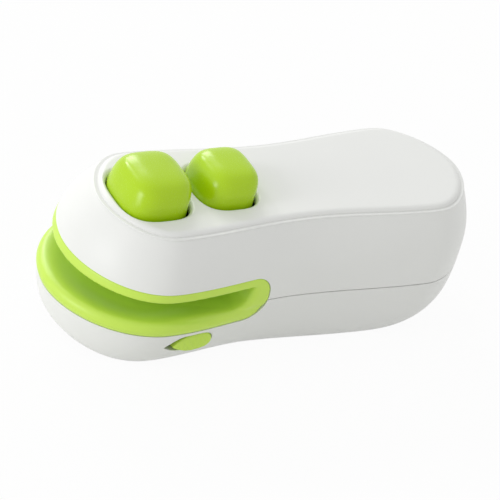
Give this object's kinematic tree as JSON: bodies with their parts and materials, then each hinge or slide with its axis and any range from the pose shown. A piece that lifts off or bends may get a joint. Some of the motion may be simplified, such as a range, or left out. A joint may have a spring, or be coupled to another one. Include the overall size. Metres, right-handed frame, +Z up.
{
  "type": "mini bag sealer",
  "caption": "Hand-held heat sealer and cutter for bags: waisted white body, lime mouth, a seal button and a cut button on top, a low power slider and a battery door.",
  "frame": {"origin": "middle of the part on the surface that it rests on", "axes": "+X from the mouth to the tail, +Z up, +Y to the far side of the picture"},
  "size_m": [0.109, 0.0494, 0.0409],
  "materials": {
    "white_shell": "satin moulded white plastic",
    "lime_plastic": "smooth moulded lime green plastic",
    "inner_plastic": "natural moulded plastic",
    "dark_plastic": "dark moulded plastic",
    "silicone": "matt silicone",
    "ceramic": null,
    "release_tape": "coated glass-cloth tape",
    "spring_steel": "bright spring steel",
    "screw_steel": "zinc-plated steel",
    "contact_plate": "nickel-plated steel",
    "cell_jacket": "plain printed cell jacket, unmarked",
    "red_wire": "red wire insulation",
    "black_wire": "black wire insulation"
  },
  "bodies": {
    "base": {"upper_housing": "white_shell", "lower_housing": "white_shell", "mouth_liner": "lime_plastic", "heater_base": "ceramic", "heater_strip": "spring_steel", "heater_cover": "release_tape", "seal_springs": "spring_steel", "cut_mat": "silicone", "cut_springs": "spring_steel", "guide_plate": "dark_plastic", "guide_screws": "screw_steel", "slide_switch": "dark_plastic", "switch_lead": "red_wire", "heater_lead": "red_wire", "return_lead": "black_wire", "cell_left": "cell_jacket", "cell_right": "cell_jacket", "front_contacts": "contact_plate", "rear_contact": "contact_plate", "contact_springs": "contact_plate", "housing_screws": "screw_steel"},
    "seal": {"seal_button": "lime_plastic", "seal_plunger": "inner_plastic", "press_pad": "silicone"},
    "cut": {"cut_button": "lime_plastic", "blade_holder": "inner_plastic", "cutter_blade": "spring_steel"},
    "slider": {"power_slider": "lime_plastic"},
    "door": {"battery_door": "white_shell"}
  },
  "joints": [
    {"name": "seal_press", "type": "slide", "parent": "base", "child": "seal", "axis": [0, 0, -1], "range_m": [0, 0.0054], "stiffness_N_per_m": 400, "deforming": ["seal_springs"]},
    {"name": "cut_press", "type": "slide", "parent": "base", "child": "cut", "axis": [0, 0, -1], "range_m": [0, 0.0054], "stiffness_N_per_m": 400, "deforming": ["cut_springs"]},
    {"name": "power_slide", "type": "slide", "parent": "base", "child": "slider", "axis": [-0.9946, -0.104, 0], "range_m": [0, 0.002]},
    {"name": "door_swing", "type": "hinge", "parent": "base", "child": "door", "pos_m": [-0.0045, 0, 0], "axis": [0, 1, 0], "range_deg": [0, 80]}
  ]
}
